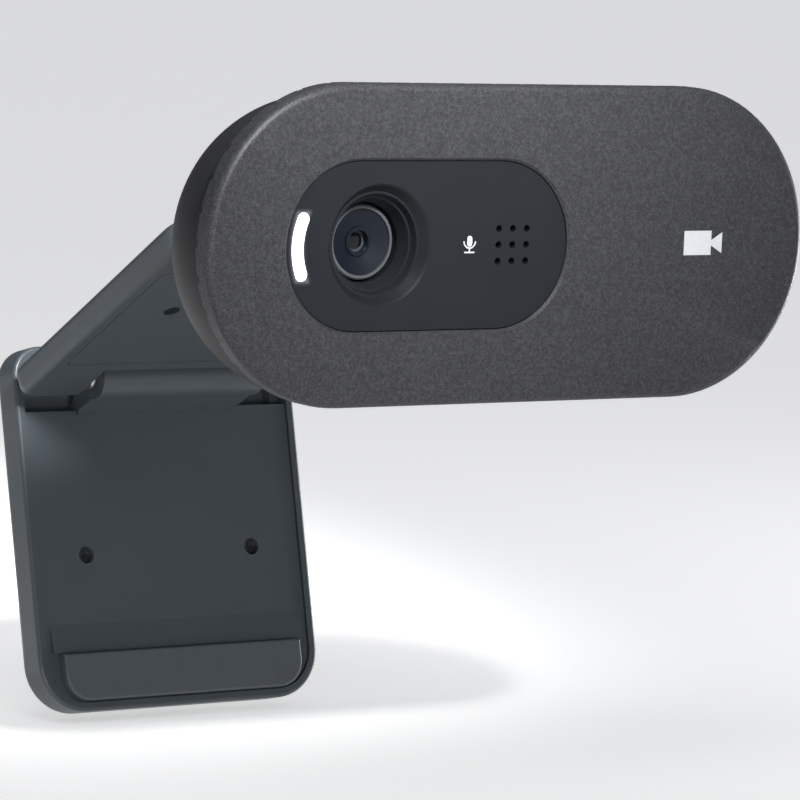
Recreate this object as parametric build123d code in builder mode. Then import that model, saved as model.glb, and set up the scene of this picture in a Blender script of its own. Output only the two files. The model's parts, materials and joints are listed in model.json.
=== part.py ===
from build123d import *
import math
import os

# A clip-on webcam: a pill-shaped camera head on a folding monitor clip.
# +Z is up with the head upright, the face looks along -Y, and +X runs to the right for a person
# who looks at the face. The origin is the centre of the clip's seat, the face on the arm's
# underside that lies on a monitor's top edge. All sizes are in mm.

# face plate
face_width = 72.9
face_height = 31.9
face_thickness = 2.2
face_edge_round = 0.8

# dark window in the face plate
window_width = 33.6
window_height = 16.9
window_x = -10.6
window_gap = 0.1
window_recess = 0.35
window_lead_in = 0.25
window_flange = 1.0
window_flange_thickness = 0.8

# lens, microphone and light pipe on the window
lens_x = -16.4
lens_z = 0.1
barrel_gap = 0.25
well_throat_ledge = 0.5
well_step_ledge = 0.5
well_flare = 1.05
well_mouth_round = 0.2
well_step_depth = 1.35
well_inner_depth = 2.05
well_tread = 0.25
well_throat_depth = 3.3
well_depth = 5.2
well_wall = 0.9
lens_setback = 3.3
barrel_radius = 3.75
barrel_length = 5.0
barrel_wall = 0.4
barrel_lip = 0.6
barrel_chamfer = 0.15
glass_radius = 2.4
glass_crown = 0.3
glass_gap = 0.05
iris_radius = 1.15
iris_setback = 0.2
iris_depth = 1.0
iris_collar = 0.3
iris_collar_depth = 0.5
iris_lip = 0.15
mic_x = -0.5
mic_pitch_x = 1.7
mic_pitch_z = 1.62
mic_hole_radius = 0.36
pipe_height = 6.7
pipe_width = 1.3
pipe_inset = 0.75
pipe_gap = 0.05

# head housing behind the face plate
frame_thickness = 1.0
shell_inset = 0.8
shell_drop = 0.4
shell_wall = 1.5
shell_straight = 0.8
dome_depth = 14.0
dome_side_inset = 14.0
dome_top_inset = 12.5
dome_steps = 9

# tilt hinge between head and arm
tilt_setback = 27.5
tilt_height = 2.4
knuckle_radius = 2.4
knuckle_half_width = 9.7
washer_thickness = 0.4
side_play = 0.05
ear_thickness = 3.4
ear_root_height = 5.4
pin_radius = 1.0
pin_play = 0.05
pin_inset = 0.3
washer_inset = 0.2

# clip arm
arm_slope = 31.4
arm_width = 38.0
arm_thickness = 3.3
arm_edge_round = 1.1
tilt_reach = 25.5
tilt_rise = 1.5
hinge_reach = 18.15
hinge_rise = 1.2
arm_end_reach = 21.3
arm_end_corner = 2.2
arm_nose_length = 4.4
arm_nose_foot = 0.4
seat_border = 1.8
seat_front = -10.6
seat_rear = 12.3
seat_thickness = 1.6
seat_corner = 1.0
seat_gap = 0.08
arm_pocket_depth = 2.3
arm_pocket_wall = 1.4
shoulder_reach = 17.2
shoulder_round = 4.0
neck_reach = 22.0
neck_blend = 7.0
lip_depth = 2.0
lip_front = -14.6
lip_side_margin = 3.5
lip_thickness = 2.0
lip_pad_thickness = 0.7
lip_pad_inset = 0.3

# rear plate of the clip
plate_lean = 14.6
plate_width = 36.2
plate_above = 4.0
plate_below = 36.7
plate_offset = 4.03
plate_thickness = 4.6
plate_floor = 1.2
plate_rim = 1.0
plate_ledge = 1.0
plate_top_corner = 3.4
plate_bottom_corner = 5.6
plate_edge_round = 1.4
plate_rim_round = 0.4
panel_gap = 0.08
panel_recess = 0.3
panel_thickness = 1.6
panel_top = 3.3
hinge_barrel_radius = 2.6
hinge_barrel_half = 10.45
hinge_side_gap = 0.55
hinge_slot_depth = 4.05
hinge_pin_radius = 0.9
hinge_pin_cover = 2.0
hinge_washer_thickness = 0.4
hinge_washer_radius = 1.55
web_top = 0.8
web_root = 2.45
web_foot = 0.5
pad_side_margin = 2.7
pad_height = 5.3
pad_rise = 1.3
pad_bottom_margin = 0.1
pad_sink = 0.4
pad_corner = 3.0
pad_edge_round = 0.3
ramp_height = 0.5
ramp_length = 3.2
ramp_side = 0.8

# small screws
screw_radius = 0.5
screw_head_radius = 0.85
screw_head_height = 0.5
screw_well_radius = 0.95
screw_well_depth = 1.3
screw_length = 2.2
screw_slot_length = 1.0
screw_slot_width = 0.25
screw_slot_depth = 0.25
screw_clearance = 0.1
boss_radius = 1.8
arm_screw_x = 11.1
arm_screw_y = -1.2
arm_screw_length = 1.6
plate_screw_x = 10.8
plate_screw_drop = 19.4

# electronics
board_width = 40.0
board_height = 17.0
board_thickness = 1.0
board_x = -5.0
board_depth = 11.0
board_screw_x = 12.5
board_far_screw_x = -22.0
board_corner = 2.0
board_screw_clear = 1.3
mic_boot_radius = 3.6
mic_capsule_radius = 2.5
mic_capsule_length = 1.5
mic_chamber = 0.6
mic_boot_floor = 0.5
led_width = 0.8
led_length = 1.6
led_height = 0.7
holder_front_gap = 1.3
holder_ledge = 0.4
filter_thickness = 0.3
filter_side = 5.4
chip_side = 9.0
chip_thickness = 1.0
chip_chamfer = 0.15
video_chip_spot = (-3.0, 0.0)
memory_chip_spot = (6.5, 3.5)
memory_chip_width = 5.0
memory_chip_height = 4.0
memory_chip_thickness = 0.8
crystal_spot = (-12.0, 4.5)
crystal_length = 4.6
crystal_width = 1.9
crystal_thickness = 1.4
header_spot = (6.4, -5.0)
header_width = 7.0
header_height = 3.2
header_thickness = 2.4
header_ways = 4
header_pitch = 1.5
header_slot_width = 0.7
header_slot_height = 1.4
sensor_side = 6.4
sensor_gap = 0.4
sensor_thickness = 0.9
holder_wall = 0.95
holder_corner = 0.6
case_screw_margin = 7.45
case_screw_z = 5.0
gland_radius = 2.6
gland_bore = 1.7
gland_x = 23.5
gland_length = 4.3
gland_proud = 1.0

well_bore_radius = barrel_radius + barrel_gap
well_inner_radius = well_bore_radius + well_throat_ledge
well_step_radius = well_inner_radius + well_step_ledge
well_radius = well_step_radius + well_flare
holder_side = 2 * (barrel_radius + holder_wall)
board_screw_z = holder_side / 2 + board_screw_clear
case_screw_x = face_width / 2 - case_screw_margin
seat_width = arm_width - 2 * seat_border
lip_width = arm_width - 2 * lip_side_margin
hinge_pin_half = arm_width / 2 - hinge_pin_cover
hinge_slot_half = hinge_barrel_half + hinge_washer_thickness + hinge_side_gap
pad_width = plate_width - 2 * pad_side_margin

slope = math.radians(arm_slope)
lean = math.radians(plate_lean)

arm_plane = Plane(origin=(0, 0, 0), x_dir=(1, 0, 0), z_dir=(0, math.sin(slope), math.cos(slope)))
tilt_axis = arm_plane.from_local_coords(Vector(0, -tilt_reach, tilt_rise))
hinge_axis = arm_plane.from_local_coords(Vector(0, hinge_reach, hinge_rise))
face_y = tilt_axis.Y - tilt_setback
face_z = tilt_axis.Z - tilt_height
plate_plane = Plane(origin=hinge_axis, x_dir=(1, 0, 0), z_dir=(0, -math.cos(lean), math.sin(lean)))


def head_plane(depth):
    """Plane across the head, this far behind the front of the face, looking out along -Y."""
    return Plane(origin=(0, face_y + depth, face_z), x_dir=(1, 0, 0), z_dir=(0, -1, 0))


def cross_plane(x, origin, up):
    """Plane across the X axis at x, through a point, with its own y along the vector up."""
    along = up.cross(Vector(1, 0, 0))
    return Plane(origin=(x, origin.Y, origin.Z), x_dir=along, z_dir=(1, 0, 0))


def shell_outline(inset):
    """The pill outline of the housing behind the face, drawn smaller by inset all round."""
    with Locations((0, -shell_drop)):
        SlotOverall(face_width - 2 * (shell_inset + inset), face_height - 2 * (shell_inset + inset))


def dome_inset(reach):
    """How far the dome's side has come in at this share of its depth: a quarter ellipse."""
    return 1 - math.sqrt(max(0, 1 - reach ** 2))


def dome_outline(reach, wall):
    """The pill outline of the dome at a share of its depth, inside a wall."""
    across = face_width - 2 * (shell_inset + wall + dome_side_inset * dome_inset(reach))
    upright = face_height - 2 * (shell_inset + wall + dome_top_inset * dome_inset(reach))
    with Locations((0, -shell_drop)):
        SlotOverall(across, upright)


def dome_solid(wall):
    """The straight collar and the dome of the head shell, inside a wall."""
    with BuildPart() as solid:
        with BuildSketch(head_plane(shell_front)):
            shell_outline(wall)
        extrude(amount=-shell_straight)
        for step in range(dome_steps + 1):
            reach = math.sin(math.pi / 2 * step / dome_steps)
            with BuildSketch(head_plane(dome_front + reach * (dome_depth - wall))):
                dome_outline(reach, wall)
        loft()
    return solid.part


def screw_set(plane, spots, length):
    """Pan-head screws: the plane lies under the heads and looks out along them."""
    with BuildPart() as screws:
        with BuildSketch(plane):
            with Locations(*spots):
                Circle(screw_head_radius)
        extrude(amount=screw_head_height)
        with BuildSketch(plane):
            with Locations(*spots):
                Circle(screw_radius)
        extrude(amount=-length)
        with BuildSketch(plane.offset(screw_head_height)):
            with Locations(*spots):
                Rectangle(screw_slot_length, screw_slot_width)
                Rectangle(screw_slot_width, screw_slot_length)
        extrude(amount=-screw_slot_depth, mode=Mode.SUBTRACT)
    return screws.part


def plate_outline(inset):
    """The rear plate's outline in its own plane, drawn smaller by inset all round."""
    height = plate_above + plate_below - 2 * inset
    with Locations((0, (plate_above - plate_below) / 2)):
        Rectangle(plate_width - 2 * inset, height)
    fillet(vertices().group_by(Axis.Y)[0], plate_bottom_corner - inset)
    fillet(vertices().group_by(Axis.Y)[-1], plate_top_corner - inset)


def light_pipe_outline(width):
    """The curved slot of the light pipe, concentric with the window's left end."""
    with BuildLine() as middle:
        CenterArc((window_x - window_width / 2 + window_height / 2, 0), pipe_radius, 180 - pipe_turn, 2 * pipe_turn)
    SlotArc(middle.line.edge(), width)


def pad_outline():
    """The rubber pad's outline on the rear plate's panel."""
    with Locations((0, pad_top - pad_height / 2)):
        Rectangle(pad_width, pad_height)
    fillet(vertices().group_by(Axis.Y)[0], pad_corner)


shell_front = face_thickness + frame_thickness
dome_front = shell_front + shell_straight
shell_back = dome_front + dome_depth
lens_centre = Vector(lens_x, face_y, face_z + lens_z)
lens_axis = Axis(lens_centre, (0, 1, 0))
lens_plane = Plane(origin=lens_centre, x_dir=(1, 0, 0), z_dir=(0, 0, 1))
window_back = face_thickness + window_flange_thickness
barrel_front = window_recess + lens_setback
ear_inner = knuckle_half_width + washer_thickness + 2 * side_play
ear_outer = ear_inner + ear_thickness
pipe_radius = window_height / 2 - pipe_inset - pipe_width / 2
pipe_turn = math.degrees(math.asin((pipe_height - pipe_width) / 2 / pipe_radius))
pipe_x = window_x - window_width / 2 + window_height / 2 - pipe_radius
barrel_back = barrel_front + barrel_length
iris_front = barrel_front + iris_setback
iris_back = iris_front + iris_depth
iris_step = iris_back - iris_collar_depth - iris_lip
glass_split = (iris_back + barrel_back - barrel_lip) / 2
holder_grip = barrel_back - well_depth - holder_front_gap
gland_side_inset = (face_width / 2 - shell_inset - gland_x) / dome_side_inset
gland_reach = math.sqrt(1 - (1 - gland_side_inset) ** 2)
gland_front = dome_front + gland_reach * dome_depth - gland_length + gland_proud
gland_back = gland_front + gland_length
board_screw_spots = [(board_screw_x, -board_screw_z), (board_far_screw_x, board_screw_z)]
plate_screw_spots = [(-plate_screw_x, -plate_screw_drop), (plate_screw_x, -plate_screw_drop)]
panel_front = plate_plane.offset(-plate_offset - panel_recess)
pad_top = pad_height + pad_bottom_margin + plate_rim + panel_gap - plate_below
ramp_half_width = plate_width / 2 - plate_rim - ramp_side
world_up = Vector(0, 0, 1)
arm_up = arm_plane.z_dir
plate_up = plate_plane.z_dir
case_screw_spots = [(x, z) for x in (-case_screw_x, case_screw_x) for z in (-case_screw_z, case_screw_z)]

os.makedirs("parts", exist_ok=True)

# ---- head: face -------------------------------------------------------------------------------

with BuildPart() as front_bezel:
    with BuildSketch(head_plane(0)):
        SlotOverall(face_width, face_height)
    extrude(amount=-face_thickness)
    fillet(front_bezel.edges().group_by(Axis.Y)[0], face_edge_round)
    with BuildSketch(head_plane(0)):
        with Locations((window_x, 0)):
            SlotOverall(window_width, window_height)
    extrude(amount=-face_thickness, mode=Mode.SUBTRACT)
    mouth = front_bezel.edges().filter_by_position(Axis.Y, face_y - 0.01, face_y + 0.01).filter_by(
        lambda edge: abs(edge.center().Z - face_z) < window_height / 2 + 0.01
        and abs(edge.center().X - window_x) < window_width / 2 + 0.01
    )
    chamfer(mouth, window_lead_in)
front_bezel.part.label = "front_bezel"
export_step(front_bezel.part, "parts/front_bezel.step")

with BuildPart() as lens_panel:
    with BuildSketch(head_plane(window_recess)):
        with Locations((window_x, 0)):
            SlotOverall(window_width - 2 * window_gap, window_height - 2 * window_gap)
    extrude(amount=window_recess - window_back)
    with BuildSketch(head_plane(face_thickness)):
        with Locations((window_x, 0)):
            SlotOverall(window_width + 2 * window_flange, window_height + 2 * window_flange)
    extrude(amount=-window_flange_thickness)
    with BuildSketch(Plane(lens_centre, x_dir=(1, 0, 0), z_dir=(0, -1, 0)).offset(-window_back)):
        Circle(well_step_radius + well_wall / 2)
    extrude(amount=window_back - well_depth)
    with BuildSketch(lens_plane):
        with BuildLine():
            Polyline(
                (0, window_recess), (well_radius, window_recess),
                (well_radius - well_mouth_round, window_recess + well_mouth_round),
                (well_step_radius + well_tread, well_step_depth), (well_step_radius, well_step_depth),
                (well_inner_radius + well_tread, well_inner_depth), (well_inner_radius, well_inner_depth),
                (well_bore_radius, well_throat_depth), (well_bore_radius, well_depth), (0, well_depth), close=True,
            )
        make_face()
    revolve(axis=lens_axis, mode=Mode.SUBTRACT)
    with BuildSketch(head_plane(window_recess)):
        with Locations((mic_x, 0)):
            with GridLocations(mic_pitch_x, mic_pitch_z, 3, 3):
                Circle(mic_hole_radius)
    extrude(amount=window_recess - window_back, mode=Mode.SUBTRACT)
    with BuildSketch(head_plane(window_recess)):
        light_pipe_outline(pipe_width + 2 * pipe_gap)
    extrude(amount=window_recess - window_back, mode=Mode.SUBTRACT)
lens_panel.part.label = "lens_panel"
export_step(lens_panel.part, "parts/lens_panel.step")

with BuildPart() as light_pipe:
    with BuildSketch(head_plane(window_recess)):
        light_pipe_outline(pipe_width)
    extrude(amount=window_recess - board_depth + led_height + pipe_gap)
light_pipe.part.label = "light_pipe"
export_step(light_pipe.part, "parts/light_pipe.step")

# ---- head: frame, shell and tilt ears ----------------------------------------------------------

with BuildPart() as mid_frame:
    with BuildSketch(head_plane(face_thickness)):
        shell_outline(0)
        with Locations((window_x, 0)):
            side = 2 * (window_flange + window_gap)
            SlotOverall(window_width + side, window_height + side, mode=Mode.SUBTRACT)
    extrude(amount=-frame_thickness)
    with BuildSketch(head_plane(face_thickness)):
        with Locations(*case_screw_spots):
            Circle(screw_head_radius + screw_clearance)
    extrude(amount=-screw_head_height, mode=Mode.SUBTRACT)
    with BuildSketch(head_plane(face_thickness)):
        with Locations(*case_screw_spots):
            Circle(screw_radius)
    extrude(amount=-frame_thickness, mode=Mode.SUBTRACT)
mid_frame.part.label = "mid_frame"
export_step(mid_frame.part, "parts/mid_frame.step")

case_screw_set = screw_set(head_plane(face_thickness + screw_head_height), case_screw_spots, screw_length)
with BuildPart() as case_screws:
    add(case_screw_set)
case_screws.part.label = "case_screws"
export_step(case_screws.part, "parts/case_screws.step")

dome = dome_solid(0)
cavity = dome_solid(shell_wall)

with BuildPart() as shell_posts:
    with BuildSketch(head_plane(shell_front)):
        with Locations(*case_screw_spots):
            Circle(boss_radius)
    extrude(amount=shell_front - shell_back)
    with BuildSketch(head_plane(board_depth + board_thickness)):
        with Locations(*board_screw_spots):
            Circle(boss_radius)
    extrude(amount=board_depth + board_thickness - shell_back)
    add(dome, mode=Mode.INTERSECT)

with BuildPart() as tilt_ears:
    for x in (-ear_outer, ear_inner):
        with BuildSketch(cross_plane(x, tilt_axis, world_up)):
            Circle(knuckle_radius)
            with Locations((shell_back - tilt_setback - shell_wall, -tilt_height)):
                Rectangle(shell_wall, 2 * ear_root_height)
            make_hull()
        extrude(amount=ear_thickness)

with BuildPart() as rear_shell:
    add(dome)
    add(tilt_ears.part)
    add(cavity, mode=Mode.SUBTRACT)
    add(shell_posts.part)
    with BuildSketch(head_plane(shell_front)):
        with Locations(*case_screw_spots):
            Circle(screw_radius)
    extrude(amount=-screw_length, mode=Mode.SUBTRACT)
    with BuildSketch(head_plane(board_depth + board_thickness)):
        with Locations(*board_screw_spots):
            Circle(screw_radius)
    extrude(amount=-screw_length, mode=Mode.SUBTRACT)
    with BuildSketch(cross_plane(-ear_outer, tilt_axis, world_up)):
        Circle(pin_radius)
    extrude(amount=2 * ear_outer, mode=Mode.SUBTRACT)
    with BuildSketch(head_plane(dome_front)):
        with Locations((gland_x, -shell_drop)):
            Circle(gland_radius)
    extrude(amount=-dome_depth, mode=Mode.SUBTRACT)
rear_shell.part.label = "rear_shell"
export_step(rear_shell.part, "parts/rear_shell.step")

with BuildPart() as cable_gland:
    with BuildSketch(head_plane(gland_front)):
        with Locations((gland_x, -shell_drop)):
            Circle(gland_radius)
    extrude(amount=gland_front - gland_back)
    fillet(cable_gland.edges().group_by(Axis.Y)[-1], gland_radius / 5)
    with BuildSketch(head_plane(gland_front)):
        with Locations((gland_x, -shell_drop)):
            Circle(gland_bore)
    extrude(amount=gland_front - gland_back, mode=Mode.SUBTRACT)
cable_gland.part.label = "cable_gland"
export_step(cable_gland.part, "parts/cable_gland.step")

with BuildPart() as tilt_pin:
    with BuildSketch(cross_plane(-ear_outer + pin_inset, tilt_axis, world_up)):
        Circle(pin_radius)
    extrude(amount=2 * (ear_outer - pin_inset))
tilt_pin.part.label = "tilt_pin"
export_step(tilt_pin.part, "parts/tilt_pin.step")

with BuildPart() as tilt_washers:
    for x in (-knuckle_half_width - washer_thickness, knuckle_half_width):
        with BuildSketch(cross_plane(x, tilt_axis, world_up)):
            Circle(knuckle_radius - washer_inset)
            Circle(pin_radius + pin_play, mode=Mode.SUBTRACT)
        extrude(amount=washer_thickness)
tilt_washers.part.label = "tilt_washers"
export_step(tilt_washers.part, "parts/tilt_washers.step")

# ---- head: lens and electronics ----------------------------------------------------------------

with BuildPart() as lens_barrel:
    with BuildSketch(lens_plane):
        with BuildLine():
            Polyline(
                (barrel_radius - barrel_chamfer, barrel_front), (barrel_radius, barrel_front + barrel_chamfer),
                (barrel_radius, barrel_back), (glass_radius - barrel_lip, barrel_back),
                (glass_radius - barrel_lip, barrel_back - barrel_lip), (glass_radius, barrel_back - barrel_lip),
                (glass_radius, iris_back), (barrel_radius - barrel_wall, iris_back),
                (barrel_radius - barrel_wall, barrel_front), close=True,
            )
        make_face()
    revolve(axis=lens_axis)
lens_barrel.part.label = "lens_barrel"
export_step(lens_barrel.part, "parts/lens_barrel.step")

with BuildPart() as iris_ring:
    with BuildSketch(lens_plane):
        with BuildLine():
            Polyline(
                (barrel_radius - barrel_wall, iris_front), (iris_radius + iris_collar, iris_step + iris_lip),
                (iris_radius + iris_collar, iris_step), (iris_radius, iris_step),
                (iris_radius, iris_back), (barrel_radius - barrel_wall, iris_back), close=True,
            )
        make_face()
    revolve(axis=lens_axis)
iris_ring.part.label = "iris_ring"
export_step(iris_ring.part, "parts/iris_ring.step")

with BuildPart() as front_lens:
    with BuildSketch(lens_plane):
        with BuildLine():
            crown = ThreePointArc(
                (0, iris_back + glass_gap), (glass_radius / 2, iris_back + glass_gap + glass_crown / 4),
                (glass_radius, iris_back + glass_gap + glass_crown),
            )
            Polyline(crown @ 1, (glass_radius, glass_split), (0, glass_split), crown @ 0)
        make_face()
    revolve(axis=lens_axis)
front_lens.part.label = "front_lens"
export_step(front_lens.part, "parts/front_lens.step")

with BuildPart() as rear_lens:
    with BuildSketch(lens_plane):
        with BuildLine():
            back = barrel_back - barrel_lip
            crown = ThreePointArc(
                (0, glass_split + glass_gap + glass_crown),
                (glass_radius / 2, glass_split + glass_gap + glass_crown * 3 / 4),
                (glass_radius, glass_split + glass_gap),
            )
            Polyline(crown @ 1, (glass_radius, back), (0, back), crown @ 0)
        make_face()
    revolve(axis=lens_axis)
rear_lens.part.label = "rear_lens"
export_step(rear_lens.part, "parts/rear_lens.step")

with BuildPart() as lens_holder:
    with BuildSketch(head_plane(barrel_back - holder_grip)):
        with Locations((lens_x, lens_z)):
            RectangleRounded(holder_side, holder_side, holder_corner)
            Circle(barrel_radius, mode=Mode.SUBTRACT)
    extrude(amount=-holder_grip)
    with BuildSketch(head_plane(barrel_back)):
        with Locations((lens_x, lens_z)):
            RectangleRounded(holder_side, holder_side, holder_corner)
            Circle(glass_radius, mode=Mode.SUBTRACT)
    extrude(amount=-holder_ledge)
    with BuildSketch(head_plane(barrel_back + holder_ledge)):
        with Locations((lens_x, lens_z)):
            RectangleRounded(holder_side, holder_side, holder_corner)
            Rectangle(sensor_side + sensor_gap, sensor_side + sensor_gap, mode=Mode.SUBTRACT)
    extrude(amount=barrel_back + holder_ledge - board_depth)
lens_holder.part.label = "lens_holder"
export_step(lens_holder.part, "parts/lens_holder.step")

with BuildPart() as ir_filter:
    with BuildSketch(head_plane(barrel_back + holder_ledge)):
        with Locations((lens_x, lens_z)):
            Rectangle(filter_side, filter_side)
    extrude(amount=-filter_thickness)
ir_filter.part.label = "ir_filter"
export_step(ir_filter.part, "parts/ir_filter.step")

with BuildPart() as image_sensor:
    with BuildSketch(head_plane(board_depth)):
        with Locations((lens_x, lens_z)):
            Rectangle(sensor_side, sensor_side)
    extrude(amount=sensor_thickness)
image_sensor.part.label = "image_sensor"
export_step(image_sensor.part, "parts/image_sensor.step")

with BuildPart() as main_board:
    with BuildSketch(head_plane(board_depth)):
        with Locations((board_x, 0)):
            RectangleRounded(board_width, board_height, board_corner)
        with Locations(*board_screw_spots):
            Circle(screw_radius, mode=Mode.SUBTRACT)
    extrude(amount=-board_thickness)
main_board.part.label = "main_board"
export_step(main_board.part, "parts/main_board.step")

board_screw_set = screw_set(head_plane(board_depth), board_screw_spots, board_thickness + screw_length)
with BuildPart() as board_screws:
    add(board_screw_set)
board_screws.part.label = "board_screws"
export_step(board_screws.part, "parts/board_screws.step")

with BuildPart() as status_led:
    with BuildSketch(head_plane(board_depth)):
        with Locations((pipe_x, 0)):
            Rectangle(led_width, led_length)
    extrude(amount=led_height)
status_led.part.label = "status_led"
export_step(status_led.part, "parts/status_led.step")

with BuildPart() as video_chip:
    with BuildSketch(head_plane(board_depth + board_thickness)):
        with Locations(video_chip_spot):
            Rectangle(chip_side, chip_side)
    extrude(amount=-chip_thickness)
    chamfer(video_chip.edges().group_by(Axis.Y)[-1], chip_chamfer)
video_chip.part.label = "video_chip"
export_step(video_chip.part, "parts/video_chip.step")

with BuildPart() as memory_chip:
    with BuildSketch(head_plane(board_depth + board_thickness)):
        with Locations(memory_chip_spot):
            Rectangle(memory_chip_width, memory_chip_height)
    extrude(amount=-memory_chip_thickness)
memory_chip.part.label = "memory_chip"
export_step(memory_chip.part, "parts/memory_chip.step")

with BuildPart() as crystal:
    with BuildSketch(head_plane(board_depth + board_thickness)):
        with Locations(crystal_spot):
            SlotOverall(crystal_length, crystal_width)
    extrude(amount=-crystal_thickness)
crystal.part.label = "crystal"
export_step(crystal.part, "parts/crystal.step")

with BuildPart() as cable_header:
    with BuildSketch(head_plane(board_depth + board_thickness)):
        with Locations(header_spot):
            Rectangle(header_width, header_height)
            with GridLocations(header_pitch, 0, header_ways, 1):
                Rectangle(header_slot_width, header_slot_height, mode=Mode.SUBTRACT)
    extrude(amount=-header_thickness)
cable_header.part.label = "cable_header"
export_step(cable_header.part, "parts/cable_header.step")

with BuildPart() as mic_boot:
    with BuildSketch(head_plane(window_back)):
        with Locations((mic_x, 0)):
            Circle(mic_boot_radius)
    extrude(amount=-(mic_chamber + mic_capsule_length + mic_boot_floor))
    with BuildSketch(head_plane(window_back)):
        with Locations((mic_x, 0)):
            Circle(mic_capsule_radius)
    extrude(amount=-(mic_chamber + mic_capsule_length), mode=Mode.SUBTRACT)
mic_boot.part.label = "mic_boot"
export_step(mic_boot.part, "parts/mic_boot.step")

with BuildPart() as mic_capsule:
    with BuildSketch(head_plane(window_back + mic_chamber)):
        with Locations((mic_x, 0)):
            Circle(mic_capsule_radius)
    extrude(amount=-mic_capsule_length)
mic_capsule.part.label = "mic_capsule"
export_step(mic_capsule.part, "parts/mic_capsule.step")

# ---- clip: arm ---------------------------------------------------------------------------------

with BuildPart() as arm_side_view:
    with BuildSketch(cross_plane(-arm_width / 2 - 1, arm_plane.origin, arm_up)):
        nose_start = arm_end_reach - arm_nose_length
        with BuildLine():
            Polyline(
                (nose_start, arm_thickness), (-tilt_reach, arm_thickness), (-tilt_reach, 0),
                (arm_end_reach, 0), (arm_end_reach, arm_nose_foot),
            )
            EllipticalCenterArc(
                (nose_start, arm_nose_foot), arm_nose_length, arm_thickness - arm_nose_foot, 0, arc_size=90
            )
        make_face()
    extrude(amount=arm_width + 2)

with BuildPart() as arm_shell:
    with BuildSketch(arm_plane):
        with BuildLine():
            Polyline(
                (-arm_width / 2, arm_end_reach), (-arm_width / 2, -shoulder_reach),
                (-knuckle_half_width, -neck_reach), (-knuckle_half_width, -tilt_reach),
                (knuckle_half_width, -tilt_reach), (knuckle_half_width, -neck_reach),
                (arm_width / 2, -shoulder_reach), (arm_width / 2, arm_end_reach), close=True,
            )
        outline = make_face()
        shoulders = outline.vertices().filter_by(lambda corner: abs(corner.Y + shoulder_reach) < 0.01)
        fillet(shoulders, shoulder_round)
        fillet(vertices().group_by(Axis.Y)[-1], arm_end_corner)
    extrude(amount=arm_thickness)
    sides = arm_shell.edges().filter_by(
        lambda edge: abs(abs(edge.center().X) - arm_width / 2) < 0.01 and edge.length > arm_thickness + 1
    )
    fillet(sides, arm_edge_round)
    add(arm_side_view.part, mode=Mode.INTERSECT)
    with BuildSketch(arm_plane.offset(-lip_depth)):
        with Locations((0, (lip_front + lip_thickness / 2))):
            Rectangle(lip_width, lip_thickness)
    extrude(amount=lip_depth + arm_thickness / 2)
    with BuildSketch(cross_plane(-knuckle_half_width, tilt_axis, arm_up)):
        Circle(knuckle_radius)
        with Locations((neck_blend, arm_thickness / 2 - tilt_rise)):
            Rectangle(arm_thickness, arm_thickness)
        make_hull()
    extrude(amount=2 * knuckle_half_width)
    with BuildSketch(arm_plane):
        with Locations((0, hinge_reach)):
            Rectangle(2 * hinge_slot_half, 2 * hinge_slot_depth)
    extrude(amount=arm_thickness, mode=Mode.SUBTRACT)
    with BuildSketch(arm_plane):
        with Locations((0, (seat_front + seat_rear) / 2)):
            RectangleRounded(
                seat_width + 2 * seat_gap, seat_rear - seat_front + 2 * seat_gap, seat_corner + seat_gap
            )
    extrude(amount=seat_thickness, mode=Mode.SUBTRACT)
    with BuildSketch(arm_plane):
        with Locations((0, (seat_front + seat_rear) / 2)):
            RectangleRounded(
                seat_width - 2 * arm_pocket_wall, seat_rear - seat_front - 2 * arm_pocket_wall, seat_corner
            )
        with Locations((-arm_screw_x, arm_screw_y), (arm_screw_x, arm_screw_y)):
            Circle(boss_radius, mode=Mode.SUBTRACT)
    extrude(amount=arm_pocket_depth, mode=Mode.SUBTRACT)
    with BuildSketch(arm_plane):
        with Locations((-arm_screw_x, arm_screw_y), (arm_screw_x, arm_screw_y)):
            Circle(screw_radius)
    extrude(amount=arm_screw_length + screw_well_depth, mode=Mode.SUBTRACT)
    with BuildSketch(cross_plane(-knuckle_half_width, tilt_axis, world_up)):
        Circle(pin_radius + pin_play)
    extrude(amount=2 * knuckle_half_width, mode=Mode.SUBTRACT)
    with BuildSketch(cross_plane(-hinge_pin_half, hinge_axis, world_up)):
        Circle(hinge_pin_radius)
    extrude(amount=2 * hinge_pin_half, mode=Mode.SUBTRACT)
arm_shell.part.label = "arm_shell"
export_step(arm_shell.part, "parts/arm_shell.step")

with BuildPart() as seat_panel:
    with BuildSketch(arm_plane):
        with Locations((0, (seat_front + seat_rear) / 2)):
            RectangleRounded(seat_width, seat_rear - seat_front, seat_corner)
        with Locations((-arm_screw_x, arm_screw_y), (arm_screw_x, arm_screw_y)):
            Circle(screw_radius, mode=Mode.SUBTRACT)
    extrude(amount=seat_thickness)
    with BuildSketch(arm_plane):
        with Locations((-arm_screw_x, arm_screw_y), (arm_screw_x, arm_screw_y)):
            Circle(screw_well_radius)
    extrude(amount=screw_well_depth, mode=Mode.SUBTRACT)
seat_panel.part.label = "seat_panel"
export_step(seat_panel.part, "parts/seat_panel.step")

arm_under = Plane(arm_plane.origin, x_dir=(1, 0, 0), z_dir=-arm_up).offset(-screw_well_depth)
arm_screw_set = screw_set(arm_under, [(x, -arm_screw_y) for x in (-arm_screw_x, arm_screw_x)], arm_screw_length)
with BuildPart() as arm_screws:
    add(arm_screw_set)
arm_screws.part.label = "arm_screws"
export_step(arm_screws.part, "parts/arm_screws.step")

with BuildPart() as lip_pad:
    with BuildSketch(arm_plane.offset(-lip_depth + lip_pad_inset)):
        with Locations((0, lip_front + lip_thickness + lip_pad_thickness / 2)):
            Rectangle(lip_width - 2 * lip_pad_inset, lip_pad_thickness)
    extrude(amount=lip_depth - lip_pad_inset)
lip_pad.part.label = "lip_pad"
export_step(lip_pad.part, "parts/lip_pad.step")

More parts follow.
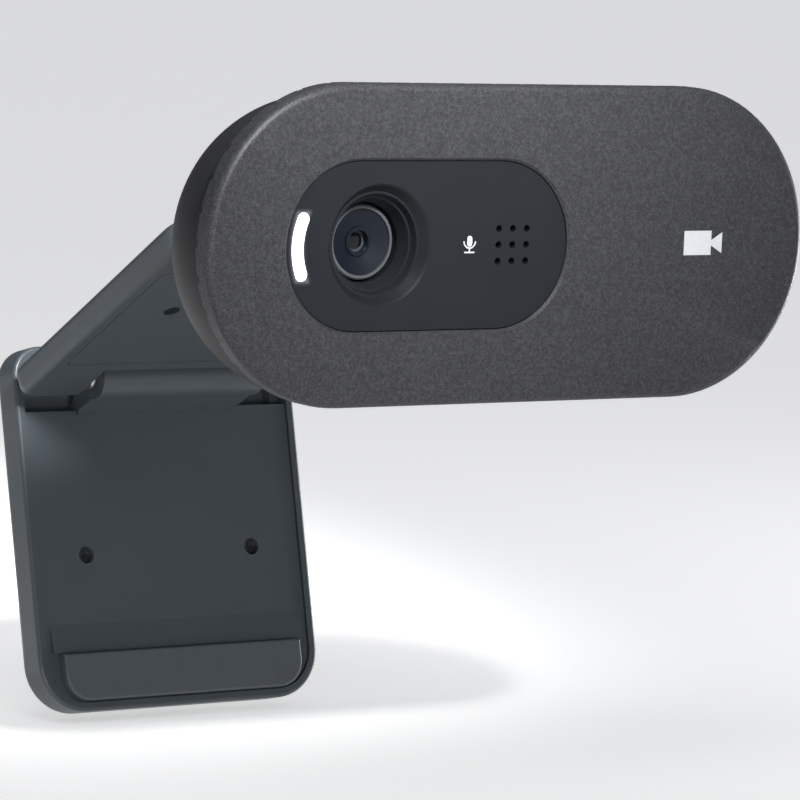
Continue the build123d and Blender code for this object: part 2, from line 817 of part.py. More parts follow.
with BuildPart() as hinge_pin:
    with BuildSketch(cross_plane(-hinge_pin_half, hinge_axis, world_up)):
        Circle(hinge_pin_radius)
    extrude(amount=2 * hinge_pin_half)
hinge_pin.part.label = "hinge_pin"
export_step(hinge_pin.part, "parts/hinge_pin.step")

with BuildPart() as hinge_washers:
    for x in (-hinge_slot_half, hinge_slot_half - hinge_washer_thickness):
        with BuildSketch(cross_plane(x, hinge_axis, world_up)):
            Circle(hinge_washer_radius)
            Circle(hinge_pin_radius, mode=Mode.SUBTRACT)
        extrude(amount=hinge_washer_thickness)
hinge_washers.part.label = "hinge_washers"
export_step(hinge_washers.part, "parts/hinge_washers.step")

# ---- clip: rear plate --------------------------------------------------------------------------

with BuildPart() as plate_shell:
    with BuildSketch(plate_plane.offset(-plate_offset)):
        plate_outline(0)
    extrude(amount=-plate_thickness)
    fillet(plate_shell.faces().sort_by(Axis(hinge_axis, plate_up))[0].edges(), plate_edge_round)
    fillet(plate_shell.faces().sort_by(Axis(hinge_axis, plate_up))[-1].edges(), plate_rim_round)
    with BuildSketch(plate_plane.offset(-plate_offset)):
        plate_outline(plate_rim)
    extrude(amount=-(panel_recess + panel_thickness), mode=Mode.SUBTRACT)
    with BuildSketch(plate_plane.offset(-plate_offset)):
        plate_outline(plate_rim + plate_ledge)
    extrude(amount=-(plate_thickness - plate_floor), mode=Mode.SUBTRACT)
    with BuildSketch(plate_plane.offset(-plate_offset - plate_thickness + plate_floor)):
        with Locations(*plate_screw_spots):
            Circle(boss_radius)
    extrude(amount=plate_thickness - plate_floor - panel_recess - panel_thickness)
    with BuildSketch(plate_plane.offset(-plate_offset)):
        with Locations(*plate_screw_spots):
            Circle(screw_radius)
    extrude(amount=-(panel_recess + screw_well_depth + screw_length), mode=Mode.SUBTRACT)
plate_shell.part.label = "plate_shell"
export_step(plate_shell.part, "parts/plate_shell.step")

with BuildPart() as plate_panel:
    with BuildSketch(panel_front):
        plate_outline(plate_rim + panel_gap)
        with Locations((0, plate_above - panel_top)):
            Rectangle(plate_width, 2 * plate_above, mode=Mode.SUBTRACT)
    extrude(amount=-panel_thickness)
    with BuildSketch(cross_plane(-hinge_barrel_half, hinge_axis, plate_up)):
        Circle(hinge_barrel_radius)
        with BuildLine():
            Polyline(
                (web_top, -web_root), (-web_root, -web_top), (-panel_top, web_foot - plate_offset - panel_recess),
                (-panel_top - web_foot, web_foot - plate_offset - panel_recess),
                (-panel_top - web_foot, -plate_offset - panel_recess - panel_thickness),
                (-panel_top, -plate_offset - panel_recess - panel_thickness), close=True,
            )
        make_face()
    extrude(amount=2 * hinge_barrel_half)
    with BuildSketch(cross_plane(-ramp_half_width, hinge_axis, plate_up)):
        with BuildLine():
            Polyline(
                (pad_top + ramp_length, -plate_offset - panel_recess),
                (pad_top + panel_gap, -plate_offset - panel_recess + ramp_height),
                (pad_top + panel_gap, -plate_offset - panel_recess), close=True,
            )
        make_face()
    extrude(amount=2 * ramp_half_width)
    with BuildSketch(panel_front):
        pad_outline()
    extrude(amount=-pad_sink, mode=Mode.SUBTRACT)
    with BuildSketch(panel_front):
        with Locations(*plate_screw_spots):
            Circle(screw_well_radius)
    extrude(amount=-screw_well_depth, mode=Mode.SUBTRACT)
    with BuildSketch(panel_front):
        with Locations(*plate_screw_spots):
            Circle(screw_radius)
    extrude(amount=-panel_thickness, mode=Mode.SUBTRACT)
    with BuildSketch(cross_plane(-hinge_barrel_half, hinge_axis, world_up)):
        Circle(hinge_pin_radius + pin_play)
    extrude(amount=2 * hinge_barrel_half, mode=Mode.SUBTRACT)
plate_panel.part.label = "plate_panel"
export_step(plate_panel.part, "parts/plate_panel.step")

plate_screw_set = screw_set(panel_front.offset(-screw_well_depth), plate_screw_spots, screw_length)
with BuildPart() as plate_screws:
    add(plate_screw_set)
plate_screws.part.label = "plate_screws"
export_step(plate_screws.part, "parts/plate_screws.step")

with BuildPart() as rubber_pad:
    with BuildSketch(panel_front.offset(-pad_sink)):
        pad_outline()
    extrude(amount=pad_sink + pad_rise)
    fillet(rubber_pad.faces().sort_by(Axis(hinge_axis, plate_up))[-1].edges(), pad_edge_round)
rubber_pad.part.label = "rubber_pad"
export_step(rubber_pad.part, "parts/rubber_pad.step")
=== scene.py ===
import json
import math
import bpy
from mathutils import Matrix, Vector


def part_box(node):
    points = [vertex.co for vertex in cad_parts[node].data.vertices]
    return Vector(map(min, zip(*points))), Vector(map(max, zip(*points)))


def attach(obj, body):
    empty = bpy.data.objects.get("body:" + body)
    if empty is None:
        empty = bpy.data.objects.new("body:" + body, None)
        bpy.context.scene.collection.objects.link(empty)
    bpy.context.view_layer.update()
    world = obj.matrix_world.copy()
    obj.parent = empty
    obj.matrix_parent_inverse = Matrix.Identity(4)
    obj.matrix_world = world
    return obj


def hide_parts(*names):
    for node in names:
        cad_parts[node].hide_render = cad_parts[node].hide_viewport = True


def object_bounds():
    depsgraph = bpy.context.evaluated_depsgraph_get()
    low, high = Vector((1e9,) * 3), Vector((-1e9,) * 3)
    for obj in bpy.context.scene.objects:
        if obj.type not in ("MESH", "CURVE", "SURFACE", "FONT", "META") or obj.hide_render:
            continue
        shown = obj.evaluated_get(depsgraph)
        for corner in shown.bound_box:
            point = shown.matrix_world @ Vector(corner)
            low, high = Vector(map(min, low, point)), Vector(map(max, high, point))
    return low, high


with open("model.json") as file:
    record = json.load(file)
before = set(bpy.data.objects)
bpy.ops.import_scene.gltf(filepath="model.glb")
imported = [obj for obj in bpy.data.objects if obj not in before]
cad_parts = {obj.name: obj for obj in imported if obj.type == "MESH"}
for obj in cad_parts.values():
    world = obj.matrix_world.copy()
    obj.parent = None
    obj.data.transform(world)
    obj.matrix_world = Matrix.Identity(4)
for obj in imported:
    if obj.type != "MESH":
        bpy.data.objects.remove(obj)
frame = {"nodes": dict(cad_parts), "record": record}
cadLow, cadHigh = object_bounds()
nodes = frame["nodes"]
joints = {joint["name"]: joint for joint in frame["record"]["behaviour"]["joints"]}
mm = 0.001


def middle(node):
    low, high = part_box(node)
    return (low + high) / 2


bezelLow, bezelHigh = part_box("front_bezel")
faceCentre = Vector((middle("front_bezel").x, bezelLow.y, middle("front_bezel").z))
faceWidth = bezelHigh.x - bezelLow.x
faceHeight = bezelHigh.z - bezelLow.z
print("frame loaded,", len(nodes), "nodes")


class Wire:
    # wraps one node output so that plain arithmetic makes Math nodes
    def __init__(self, tree, socket):
        self.tree = tree
        self.socket = socket

    def math(self, operation, *values):
        return self.tree.add("ShaderNodeMath", {"operation": operation}, values)

    def __add__(self, other):
        return self.math("ADD", self, other)

    def __radd__(self, other):
        return self.math("ADD", other, self)

    def __sub__(self, other):
        return self.math("SUBTRACT", self, other)

    def __rsub__(self, other):
        return self.math("SUBTRACT", other, self)

    def __mul__(self, other):
        return self.math("MULTIPLY", self, other)

    def __rmul__(self, other):
        return self.math("MULTIPLY", other, self)

    def __pow__(self, other):
        return self.math("POWER", self, other)


class Tree:
    # a material's node tree with a Principled shader ready in it
    def __init__(self, name):
        self.material = bpy.data.materials.new(name)
        self.material.use_nodes = True
        self.nodes = self.material.node_tree.nodes
        self.links = self.material.node_tree.links
        self.shader = self.nodes["Principled BSDF"]
        self.coords = self.nodes.new("ShaderNodeTexCoord")
        self.place = Wire(self, self.coords.outputs["Object"])

    def put(self, socket, value):
        if isinstance(value, Wire):
            self.links.new(value.socket, socket)
        elif isinstance(value, tuple) and socket.type == "RGBA" and len(value) == 3:
            socket.default_value = (*value, 1)
        else:
            socket.default_value = value

    def add(self, kind, settings=None, values=(), output=0):
        node = self.nodes.new(kind)
        for key, value in (settings or {}).items():
            setattr(node, key, value)
        pairs = values.items() if isinstance(values, dict) else enumerate(values)
        for key, value in pairs:
            self.put(node.inputs[key], value)
        return Wire(self, node.outputs[output])

    def noise(self, size, detail=2.0, roughness=0.5):
        # size is the width of one blob in metres
        values = {"Vector": self.place, "Scale": 1 / size, "Detail": detail, "Roughness": roughness}
        return self.add("ShaderNodeTexNoise", {}, values)

    def between(self, low, high, value):
        # 0 below low, 1 above high
        values = {"Value": value, "From Min": low, "From Max": high}
        return self.add("ShaderNodeMapRange", {"clamp": True}, values)

    def mix(self, factor, first, second):
        values = {0: factor, 6: first, 7: second}
        return self.add("ShaderNodeMix", {"data_type": "RGBA"}, values, 2)

    def distance(self, point):
        # how far a point of the surface stands from a fixed point
        values = [self.place, tuple(point)]
        return self.add("ShaderNodeVectorMath", {"operation": "DISTANCE"}, values, 1)

    def absolute(self, value):
        return self.add("ShaderNodeMath", {"operation": "ABSOLUTE"}, [value])

    def part(self, axis):
        return self.add("ShaderNodeSeparateXYZ", {}, [self.place], "XYZ".index(axis))

    def bump(self, height, depth):
        # depth is the height of the relief in metres
        values = {"Strength": 1.0, "Distance": depth, "Height": height}
        return self.add("ShaderNodeBump", {}, values)

    def finish(self, **sockets):
        for key, value in sockets.items():
            self.put(self.shader.inputs[key.replace("_", " ")], value)
        return self.material


facePlasticLook = {"colour": (0.034, 0.035, 0.039), "grain": 0.0001, "fleck": 0.6, "roughness": 0.5}


def facePlastic():
    look = facePlasticLook
    tree = Tree("facePlastic")
    fine = tree.noise(look["grain"], 3, 0.6)
    coarse = tree.noise(look["grain"] * 3.1, 2)
    fleck = tree.between(0.42, 0.72, fine * 0.7 + coarse * 0.3)
    dark = tuple(c * (1 - look["fleck"]) for c in look["colour"])
    pale = tuple(c * (1 + 2.2 * look["fleck"]) for c in look["colour"])
    colour = tree.mix(fleck, dark, pale)
    rough = look["roughness"] - 0.12 * fleck
    return tree.finish(
        Base_Color=colour, Roughness=rough, Normal=tree.bump(fine, 0.000012), Specular_IOR_Level=0.35
    )


# halo and haloColour set a painted glow on the window plastic round the lamp, though the window is no lamp
windowPlasticLook = {
    "colour": (0.0125, 0.0145, 0.018), "grain": 0.00011, "roughness": 0.4, "halo": 0.0005,
    "arcHalf": 0.0006, "haloColour": (0.16, 0.18, 0.2),
}


def windowPlastic():
    look = windowPlasticLook
    tree = Tree("windowPlastic")
    fine = tree.noise(look["grain"], 2)
    cloud = tree.noise(0.004, 2)
    rough = look["roughness"] + 0.08 * (fine - 0.5) + 0.05 * (cloud - 0.5)
    deep = tuple(c * 0.85 for c in look["colour"])
    low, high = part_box("light_pipe")
    lens = Vector((middle("front_lens").x, low.y, middle("front_lens").z))
    # the lamp is an arc about the lens; a glow painted on the window plastic round it fades with the
    # distance from that arc
    beside = tree.absolute(tree.distance(lens) - (lens.x - low.x - look["arcHalf"]))
    height = tree.absolute(tree.part("Z") - (low.z + high.z) / 2)
    ends = tree.between((high.z - low.z) / 2 + look["halo"], (high.z - low.z) / 2, height)
    left = tree.between(lens.x - 0.002, lens.x - 0.003, tree.part("X"))
    halo = (tree.between(look["arcHalf"] + look["halo"], look["arcHalf"], beside) * ends * left) ** 2.0
    # the window plastic gives off this painted glow as emission
    return tree.finish(
        Base_Color=tree.mix(cloud, deep, look["colour"]), Roughness=rough,
        Emission_Color=tree.mix(halo, (0.0, 0.0, 0.0), look["haloColour"]), Emission_Strength=1.0,
        Normal=tree.bump(fine, 0.000004), Specular_IOR_Level=0.22,
    )


housingPlasticLook = {"colour": (0.018, 0.0185, 0.0205), "grain": 0.00016, "roughness": 0.58}


def housingPlastic():
    look = housingPlasticLook
    tree = Tree("housingPlastic")
    pits = tree.noise(look["grain"], 3, 0.65)
    fleck = tree.between(0.4, 0.7, tree.noise(look["grain"] * 0.5, 2))
    dark = tuple(c * 0.72 for c in look["colour"])
    pale = tuple(c * 1.35 for c in look["colour"])
    return tree.finish(
        Base_Color=tree.mix(fleck, dark, pale), Roughness=look["roughness"] - 0.1 * pits,
        Normal=tree.bump(pits, 0.00004), Specular_IOR_Level=0.25,
    )


clipPlasticLook = {"colour": (0.047, 0.057, 0.065), "grain": 0.00012, "roughness": 0.37}


def clipPlastic():
    look = clipPlasticLook
    tree = Tree("clipPlastic")
    fine = tree.noise(look["grain"], 3, 0.6)
    cloud = tree.noise(0.006, 2)
    fleck = tree.between(0.62, 0.74, fine)
    deep = tuple(c * 0.92 for c in look["colour"])
    light = tuple(c * 1.06 for c in look["colour"])
    base = tree.mix(cloud, deep, light)
    colour = tree.mix(fleck * 0.5, base, tuple(c * 1.8 for c in look["colour"]))
    rough = look["roughness"] + 0.1 * (fine - 0.5)
    return tree.finish(
        Base_Color=colour, Roughness=rough, Normal=tree.bump(fine, 0.000008), Specular_IOR_Level=0.4
    )


def plainFinish(name, colour, roughness, metallic=0.0, grain=0.0002, relief=0.000004, **more):
    # a base for the small pieces: slight cloudiness in colour and gloss, and a trace of surface
    tree = Tree(name)
    fine = tree.noise(grain, 3, 0.6)
    cloud = tree.noise(grain * 9, 2)
    base = tree.mix(cloud, tuple(c * 0.86 for c in colour), tuple(min(1, c * 1.1) for c in colour))
    rough = roughness + 0.12 * (fine - 0.5)
    return tree.finish(
        Base_Color=base, Roughness=rough, Metallic=metallic, Normal=tree.bump(fine, relief), **more
    )


def lightGuide():
    tree = Tree("lightGuide")
    cloud = tree.noise(0.002, 2)
    glow = tree.mix(cloud, (0.96, 0.98, 1.0), (1.0, 1.0, 1.0))
    return tree.finish(
        Base_Color=(0.9, 0.92, 0.95), Roughness=0.35, Emission_Color=glow, Emission_Strength=2.2,
        Normal=tree.bump(cloud, 0.00001),
    )


# deep is the painted shade in the pupil: the dark inside of the camera, seen through the glass
lensGlassLook = {
    "stop": 0.00115, "pupil": 0.00085, "mask": (0.004, 0.006, 0.011), "ring": (0.05, 0.055, 0.07),
    "deep": (0.002, 0.002, 0.003),
}


def lensGlass():
    look = lensGlassLook
    tree = Tree("lensGlass")
    low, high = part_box("front_lens")
    centre = Vector((middle("front_lens").x, low.y, middle("front_lens").z))
    radius = tree.distance(centre)
    dust = tree.noise(0.00012, 3, 0.6)
    mask = tree.mix(dust, look["mask"], tuple(c * 1.8 for c in look["mask"]))
    outside = tree.between(look["stop"] - 0.00004, look["stop"] + 0.00004, radius)
    # inside the pupil the glass is painted near black, as painted shade of the dark inside of the camera
    inside = tree.between(look["pupil"] + 0.00004, look["pupil"] - 0.00004, radius)
    colour = tree.mix(outside, look["ring"], mask)
    colour = tree.mix(inside, colour, look["deep"])
    return tree.finish(
        Base_Color=colour, Roughness=0.42 - 0.36 * inside, Coat_Weight=0.2, Specular_IOR_Level=0.3,
        Normal=tree.bump(dust * outside, 0.000004),
    )


def printInk():
    tree = Tree("printInk")
    cloud = tree.noise(0.0003, 2)
    ink = tree.mix(cloud, (0.5, 0.51, 0.53), (0.6, 0.61, 0.63))
    return tree.finish(Base_Color=ink, Roughness=0.55 + 0.1 * cloud)


finishes = {
    "print_ink": printInk(),
    "face_plastic": facePlastic(),
    "window_plastic": windowPlastic(),
    "housing_plastic": housingPlastic(),
    "clip_plastic": clipPlastic(),
    "pad_rubber": plainFinish("padRubber", (0.05, 0.06, 0.068), 0.5, relief=0.000012),
    "soft_rubber": plainFinish("softRubber", (0.018, 0.018, 0.02), 0.62, relief=0.00001),
    "light_guide": lightGuide(),
    # the screws' steel is darkened far below plain steel as painted shade, so that the deep screw wells
    # look dark
    "screw_steel": plainFinish("screwSteel", (0.09, 0.09, 0.1), 0.38, 0.9),
    "pin_steel": plainFinish("pinSteel", (0.62, 0.61, 0.6), 0.24, 1.0),
    "lens_plastic": plainFinish("lensPlastic", (0.075, 0.082, 0.09), 0.3),
    "lens_glass": lensGlass(),
    "chip_plastic": plainFinish("chipPlastic", (0.03, 0.03, 0.03), 0.6),
    "board_laminate": plainFinish("boardLaminate", (0.015, 0.11, 0.045), 0.35),
    "connector_plastic": plainFinish("connectorPlastic", (0.75, 0.72, 0.62), 0.45),
}
slots = {entry["node"]: entry["material_slot"] for entry in frame["record"]["subparts"]}
for name, node in nodes.items():
    node.data.materials.clear()
    node.data.materials.append(finishes[slots[name]])
irisFinish = plainFinish(
    "irisPlastic", (0.004, 0.0065, 0.012), 0.42, relief=0.000008, Specular_IOR_Level=0.25
)
nodes["iris_ring"].data.materials[0] = irisFinish
print("finishes made")


def clearSelection():
    if bpy.context.object and bpy.context.object.mode != "OBJECT":
        bpy.ops.object.mode_set(mode="OBJECT")
    bpy.ops.object.select_all(action="DESELECT")


def pick(piece):
    clearSelection()
    piece.select_set(True)
    bpy.context.view_layer.objects.active = piece


def useModifier(piece, kind, **settings):
    pick(piece)
    modifier = piece.modifiers.new(kind, kind)
    for key, value in settings.items():
        setattr(modifier, key, value)
    bpy.ops.object.modifier_apply(modifier=modifier.name)


def settle(piece, name):
    # the piece's place goes into its mesh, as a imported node's does
    pick(piece)
    piece.name = name
    bpy.ops.object.transform_apply(location=True, rotation=True, scale=True)


def dress(piece, body, slot, finish, *replaced):
    piece.data.materials.clear()
    piece.data.materials.append(finish)
    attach(piece, body)
    if replaced:
        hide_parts(*replaced)


def smoothSides(piece, degrees):
    pick(piece)
    bpy.ops.object.shade_smooth_by_angle(angle=math.radians(degrees))


def mergedCopy(node, name):
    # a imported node's mesh is loose triangles, so its copy is merged before it is shaped
    piece = nodes[node].copy()
    piece.data = nodes[node].data.copy()
    piece.parent = None
    piece.matrix_world = Matrix.Identity(4)
    bpy.context.scene.collection.objects.link(piece)
    pick(piece)
    piece.name = name
    bpy.ops.object.mode_set(mode="EDIT")
    bpy.ops.mesh.select_all(action="SELECT")
    bpy.ops.mesh.remove_doubles(threshold=0.002 * mm)
    bpy.ops.mesh.customdata_custom_splitnormals_clear()
    bpy.ops.object.mode_set(mode="OBJECT")
    return piece


def joined(parts, name):
    pick(parts[0])
    for part in parts:
        part.select_set(True)
    if len(parts) > 1:
        bpy.ops.object.join()
    settle(parts[0], name)
    return parts[0]


def pillPoint(halfWidth, halfHeight, turn):
    # a point on a pill outline, at an angle round its two ends
    straight = halfWidth - halfHeight
    side = 1 if math.cos(turn) > 0 else -1
    return side * straight + halfHeight * math.cos(turn), halfHeight * math.sin(turn)


# the housing behind the face: a straight collar, then a dome that comes in as a quarter ellipse
housing = {
    "front": 3.2, "wall": 1.4, "inset": 0.8, "drop": 0.4, "straight": 0.8, "depth": 14.0,
    "sideIn": 14.0, "topIn": 12.5, "aroundSteps": 112, "depthSteps": 28,
    "earInner": 10.2, "earWidth": 3.4, "earRadius": 2.4, "earRound": 0.35,
    "earRoot": 5.4, "earRootIn": 2.2, "earRootDepth": 1.2,
    "pinBore": 1.02, "pinBoreLength": 60.0, "glandBore": 2.58, "glandBoreLength": 8.0,
}


def makeDome():
    steps = housing["aroundSteps"]
    bpy.ops.mesh.primitive_circle_add(vertices=steps, radius=faceHeight / 2, fill_type="NGON")
    dome = bpy.context.object
    halfWidth = faceWidth / 2 - housing["inset"] * mm
    halfHeight = faceHeight / 2 - housing["inset"] * mm
    rings = [(housing["front"], 0.0)]
    for step in range(housing["depthSteps"] + 1):
        turn = math.pi / 2 * step / housing["depthSteps"]
        domeDepth = housing["straight"] + housing["depth"] * math.sin(turn)
        rings.append((housing["front"] + domeDepth, 1 - math.cos(turn)))
    bpy.ops.object.mode_set(mode="EDIT")
    bpy.ops.mesh.select_all(action="SELECT")
    for _ in rings[1:]:
        bpy.ops.mesh.extrude_region_move()
    bpy.ops.object.mode_set(mode="OBJECT")
    for number, vertex in enumerate(dome.data.vertices):
        depth, share = rings[number // steps]
        turn = 2 * math.pi * (number % steps + 0.5) / steps
        x, z = pillPoint(
            halfWidth - housing["sideIn"] * share * mm, halfHeight - housing["topIn"] * share * mm, turn
        )
        vertex.co = faceCentre + Vector((x, depth * mm, z - housing["drop"] * mm))
    pick(dome)
    bpy.ops.object.mode_set(mode="EDIT")
    bpy.ops.mesh.select_all(action="SELECT")
    bpy.ops.mesh.normals_make_consistent(inside=False)
    bpy.ops.mesh.select_all(action="DESELECT")
    bpy.ops.object.mode_set(mode="OBJECT")
    # the front is opened before the wall gets its thickness
    frontLimit = faceCentre.y + (housing["front"] + 0.1) * mm
    for face in dome.data.polygons:
        face.select = len(face.vertices) == steps and face.center.y < frontLimit
    bpy.ops.object.mode_set(mode="EDIT")
    bpy.ops.mesh.delete(type="FACE")
    bpy.ops.object.mode_set(mode="OBJECT")
    useModifier(dome, "SOLIDIFY", thickness=housing["wall"] * mm, offset=-1, use_even_offset=True)
    return dome


def makeEar(side):
    axis = Vector(joints["head_tilt"]["pos_m"])
    back = faceCentre.y + (housing["front"] + housing["straight"] + housing["depth"]) * mm
    centreX = side * (housing["earInner"] + housing["earWidth"] / 2) * mm
    bpy.ops.mesh.primitive_cylinder_add(
        vertices=64, radius=housing["earRadius"] * mm, depth=housing["earWidth"] * mm,
        location=(centreX, axis.y, axis.z), rotation=(0, math.pi / 2, 0),
    )
    ear = bpy.context.object
    rootY = back - housing["earRootIn"] * mm
    bpy.ops.mesh.primitive_cube_add(size=1, location=(centreX, rootY, faceCentre.z))
    root = bpy.context.object
    root.scale = (housing["earWidth"] * mm, housing["earRootDepth"] * mm, 2 * housing["earRoot"] * mm)
    ear = joined([ear, root], "ear")
    bpy.ops.object.mode_set(mode="EDIT")
    bpy.ops.mesh.select_all(action="SELECT")
    bpy.ops.mesh.convex_hull()
    bpy.ops.object.mode_set(mode="OBJECT")
    useModifier(ear, "BEVEL", width=housing["earRound"] * mm, segments=3, limit_method="ANGLE",
                angle_limit=math.radians(40))
    return ear


def cutWith(piece, cutter, operation="DIFFERENCE"):
    useModifier(piece, "BOOLEAN", object=cutter, operation=operation, solver="EXACT")
    bpy.data.objects.remove(cutter)


def makeBore(centre, bore, turn):
    bpy.ops.mesh.primitive_cylinder_add(
        vertices=48, radius=housing[bore] * mm, depth=housing[bore + "Length"] * mm,
        location=centre, rotation=turn,
    )
    return bpy.context.object


def makeHousing():
    shell = makeDome()
    for side in (-1, 1):
        cutWith(shell, makeEar(side), "UNION")
    axis = Vector(joints["head_tilt"]["pos_m"])
    cutWith(shell, makeBore(axis, "pinBore", (0, math.pi / 2, 0)))
    cutWith(shell, makeBore(middle("cable_gland"), "glandBore", (math.pi / 2, 0, 0)))
    settle(shell, "housingShell")
    smoothSides(shell, 28)
    dress(shell, "head", "housing_plastic", finishes["housing_plastic"], "rear_shell")


# small wedge-shaped notches round the back edge of the face plate, where it clips to the housing
notch = {"pitch": 3.3, "height": 0.5, "depth": 0.35}


def edgePlace(along):
    # a place on the face plate's outline, and how far the edge has turned there
    radius = faceHeight / 2
    straight = faceWidth - faceHeight
    bend = math.pi * radius
    if along < straight:
        return Vector((along - straight / 2, 0, radius)), 0
    if along < straight + bend:
        turn = (along - straight) / radius
        return Vector((straight / 2 + radius * math.sin(turn), 0, radius * math.cos(turn))), turn
    if along < 2 * straight + bend:
        return Vector((straight / 2 - (along - straight - bend), 0, -radius)), math.pi
    turn = math.pi + (along - 2 * straight - bend) / radius
    return Vector((-straight / 2 + radius * math.sin(turn), 0, radius * math.cos(turn))), turn


def makeBezel():
    bezel = mergedCopy("front_bezel", "facePlate")
    edge = 2 * (faceWidth - faceHeight) + math.pi * faceHeight
    count = round(edge / (notch["pitch"] * mm))
    backEdge = faceCentre + Vector((0, bezelHigh.y - bezelLow.y, 0))
    cutters = []
    for number in range(count):
        place, turn = edgePlace(edge * (number + 0.5) / count)
        bpy.ops.mesh.primitive_cylinder_add(
            vertices=3, radius=notch["height"] * mm, depth=2 * notch["depth"] * mm,
            location=backEdge + place, rotation=(0, turn, 0),
        )
        cutters.append(bpy.context.object)
    cutWith(bezel, joined(cutters, "notchCutters"))
    smoothSides(bezel, 25)
    dress(bezel, "head", "face_plastic", finishes["face_plastic"], "front_bezel")


# two small printed signs: a microphone beside its holes and a camera at the far end of the face
printed = {
    "thick": 0.03, "sunk": 0.008, "stroke": 0.15,
    "micShift": 5.2, "micWidth": 0.62, "micHeight": 1.1, "micLift": 0.4, "micRing": 0.62, "stem": 0.42,
    "cameraX": 22.6, "cameraWidth": 3.5, "cameraHeight": 2.5, "cameraHorn": 1.25, "hornShare": 0.62,
}


def printBlock(x, y, z, width, height):
    bpy.ops.mesh.primitive_cube_add(size=1, location=(x, y, z))
    block = bpy.context.object
    block.scale = (width * mm, printed["thick"] * mm, height * mm)
    settle(block, "printBlock")
    return block


def printDisc(x, y, z, radius, steps=48, turn=0.0):
    bpy.ops.mesh.primitive_cylinder_add(
        vertices=steps, radius=radius * mm, depth=printed["thick"] * mm, location=(x, y, z),
        rotation=(math.pi / 2, turn, 0),
    )
    settle(bpy.context.object, "printDisc")
    return bpy.context.object


def makeMicSign():
    mic, lens = middle("mic_boot"), middle("front_lens")
    toward = -1 if lens.x < mic.x else 1
    x = mic.x + toward * printed["micShift"] * mm
    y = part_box("lens_panel")[0].y + printed["sunk"] * mm
    top = mic.z + printed["micLift"] * mm
    half = (printed["micHeight"] - printed["micWidth"]) / 2 * mm
    ring = printDisc(x, y, top, printed["micRing"] + printed["stroke"])
    bpy.ops.mesh.primitive_cylinder_add(
        vertices=48, radius=printed["micRing"] * mm, depth=mm, location=(x, y, top),
        rotation=(math.pi / 2, 0, 0),
    )
    cutWith(ring, bpy.context.object)
    bpy.ops.mesh.primitive_cube_add(size=4 * mm, location=(x, y, top + 2 * mm))
    cutWith(ring, bpy.context.object)
    reach = (printed["micRing"] + printed["stroke"] / 2) * mm
    bottom = top - reach - printed["stem"] * mm
    for part in (
        printBlock(x, y, top, printed["micWidth"], printed["micHeight"] - printed["micWidth"]),
        printDisc(x, y, top + half, printed["micWidth"] / 2),
        printDisc(x, y, top - half, printed["micWidth"] / 2),
        printBlock(x, y, (top - reach + bottom) / 2, printed["stroke"], printed["stem"]),
        printBlock(x, y, bottom, 2 * printed["micRing"], printed["stroke"]),
    ):
        cutWith(ring, part, "UNION")
    settle(ring, "micSign")
    dress(ring, "head", "window_plastic", finishes["print_ink"])


def makeCameraSign():
    x = faceCentre.x + printed["cameraX"] * mm
    y = faceCentre.y + printed["sunk"] * mm
    body = printBlock(x, y, faceCentre.z, printed["cameraWidth"], printed["cameraHeight"])
    hornX = x + (printed["cameraWidth"] / 2 + printed["cameraHorn"] * printed["hornShare"]) * mm
    horn = printDisc(hornX, y, faceCentre.z, printed["cameraHorn"], 3, -math.pi / 2)
    cutWith(body, horn, "UNION")
    settle(body, "cameraSign")
    dress(body, "head", "face_plastic", finishes["print_ink"])


makeMicSign()
makeCameraSign()
print("signs made")
makeHousing()
print("housing made")
makeBezel()
print("face plate made")


# yaw is to the camera's left of the face, and the two offsets are how far the view's centre
# stands right of and above the face's centre, seen from the camera
cameraView = {
    "yaw": 34.37, "pitch": 6.71, "roll": 2.63, "distance": 0.46947, "right": -0.01182, "up": -0.01548,
    "lens": 211.5,
}

studio = {
    "floorSize": 60.0, "floorDrop": 0.0006, "floorGlow": 0.5, "level": (0.11, 0.115, 0.125),
    "overhead": (0.3, 0.305, 0.32),
}


def makeFloor():
    clearSelection()
    level = cadLow.z - studio["floorDrop"]
    bpy.ops.mesh.primitive_plane_add(size=studio["floorSize"], location=(0, 0, level))
    floor = bpy.context.object
    settle(floor, "studioFloor")
    tree = Tree("paleFloor")
    cloud = tree.noise(0.2, 2)
    floor.data.materials.append(tree.finish(
        Base_Color=tree.mix(cloud, (0.86, 0.86, 0.86), (0.88, 0.88, 0.88)), Roughness=0.95,
        Emission_Color=(1.0, 1.0, 1.0), Emission_Strength=studio["floorGlow"],
    ))


def makeWorld():
    world = bpy.data.worlds.new("studioWorld")
    bpy.context.scene.world = world
    world.use_nodes = True
    made = world.node_tree.nodes
    links = world.node_tree.links
    coords = made.new("ShaderNodeTexCoord")
    split = made.new("ShaderNodeSeparateXYZ")
    rise = made.new("ShaderNodeMapRange")
    whole = made.new("ShaderNodeMix")
    whole.data_type = "RGBA"
    links.new(coords.outputs["Generated"], split.inputs[0])
    links.new(split.outputs["Z"], rise.inputs["Value"])
    rise.inputs["From Min"].default_value = 0.3
    rise.inputs["From Max"].default_value = 0.85
    links.new(rise.outputs[0], whole.inputs[0])
    whole.inputs[6].default_value = (*studio["level"], 1)
    whole.inputs[7].default_value = (*studio["overhead"], 1)
    links.new(whole.outputs[2], made["Background"].inputs["Color"])
    made["Background"].inputs["Strength"].default_value = 1.0


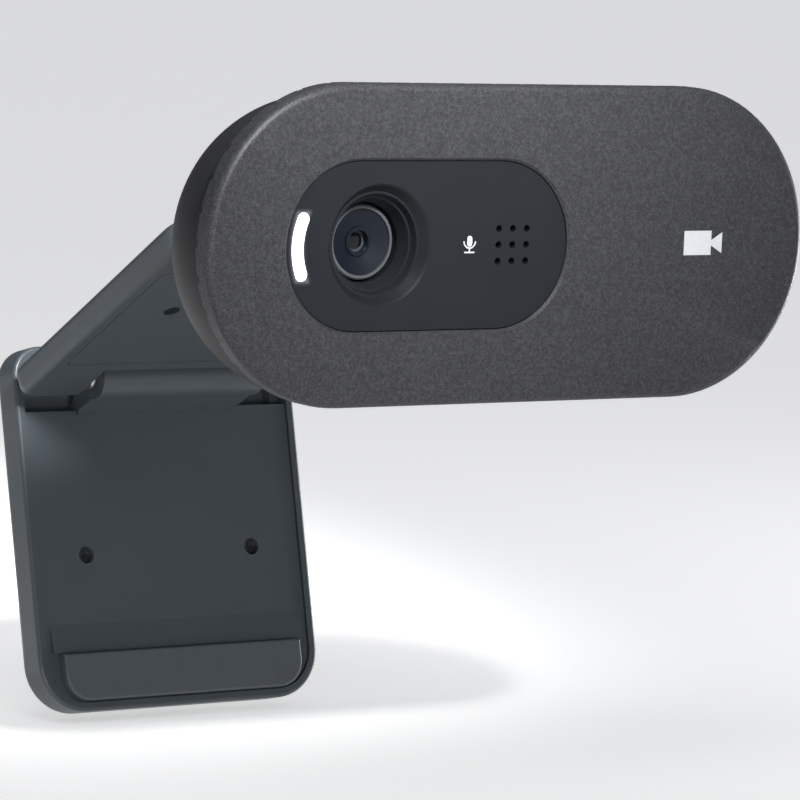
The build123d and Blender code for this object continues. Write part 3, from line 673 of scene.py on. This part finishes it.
softboxes = {
    "keyBox": {"place": (-0.14, -0.2, 0.3), "size": (0.22, 0.16), "power": 0.27, "aim": (0, -0.045, 0.02)},
    "leftBox": {"place": (-0.32, 0.1, 0.03), "size": (0.2, 0.24), "power": 0.06, "aim": (0, 0, -0.01)},
    "rightBox": {
        "place": (0.3, -0.02, -0.03), "size": (0.08, 0.06), "power": 0.6, "aim": (0.015, 0.02, -0.03),
    },
}
spots = {
    "faceSpot": {
        "place": (-0.06, -0.34, 0.26), "aim": (-0.012, -0.048, 0.062), "cone": 15.0, "power": 35.0,
    },
    "plateSpot": {"place": (-0.13, -0.3, -0.03), "aim": (0, 0.012, -0.034), "cone": 13.0, "power": 3.6},
}


def turnTo(place, aim):
    return (Vector(aim) - Vector(place)).to_track_quat("-Z", "Y").to_euler()


def makeLights():
    for name, box in {**softboxes, **spots}.items():
        lamp = bpy.data.lights.new(name, "AREA" if "size" in box else "SPOT")
        lamp.energy = box["power"]
        if "size" in box:
            lamp.shape = "RECTANGLE"
            lamp.size, lamp.size_y = box["size"]
        else:
            lamp.spot_size = math.radians(box["cone"])
            lamp.spot_blend = 1.0
            lamp.shadow_soft_size = 0.04
        holder = bpy.data.objects.new(name, lamp)
        holder.location = box["place"]
        holder.rotation_euler = turnTo(box["place"], box["aim"])
        bpy.context.scene.collection.objects.link(holder)


def makeCamera():
    view = cameraView
    turn = (
        Matrix.Rotation(math.radians(view["roll"]), 3, "Y")
        @ Matrix.Rotation(math.radians(view["pitch"]), 3, "X")
        @ Matrix.Rotation(math.radians(view["yaw"]), 3, "Z")
    )
    right, ahead, above = turn[0], turn[1], turn[2]
    lens = bpy.data.cameras.new("studioCamera")
    lens.lens = view["lens"]
    lens.sensor_width = 36
    lens.clip_start = 0.01
    camera = bpy.data.objects.new("studioCamera", lens)
    camera.location = faceCentre + view["right"] * right - view["distance"] * ahead + view["up"] * above
    camera.rotation_euler = Matrix((right, above, -ahead)).transposed().to_euler()
    bpy.context.scene.collection.objects.link(camera)
    bpy.context.scene.camera = camera


makeFloor()
makeWorld()
makeLights()
makeCamera()
bpy.context.scene.view_settings.view_transform = "Standard"
print("studio made")
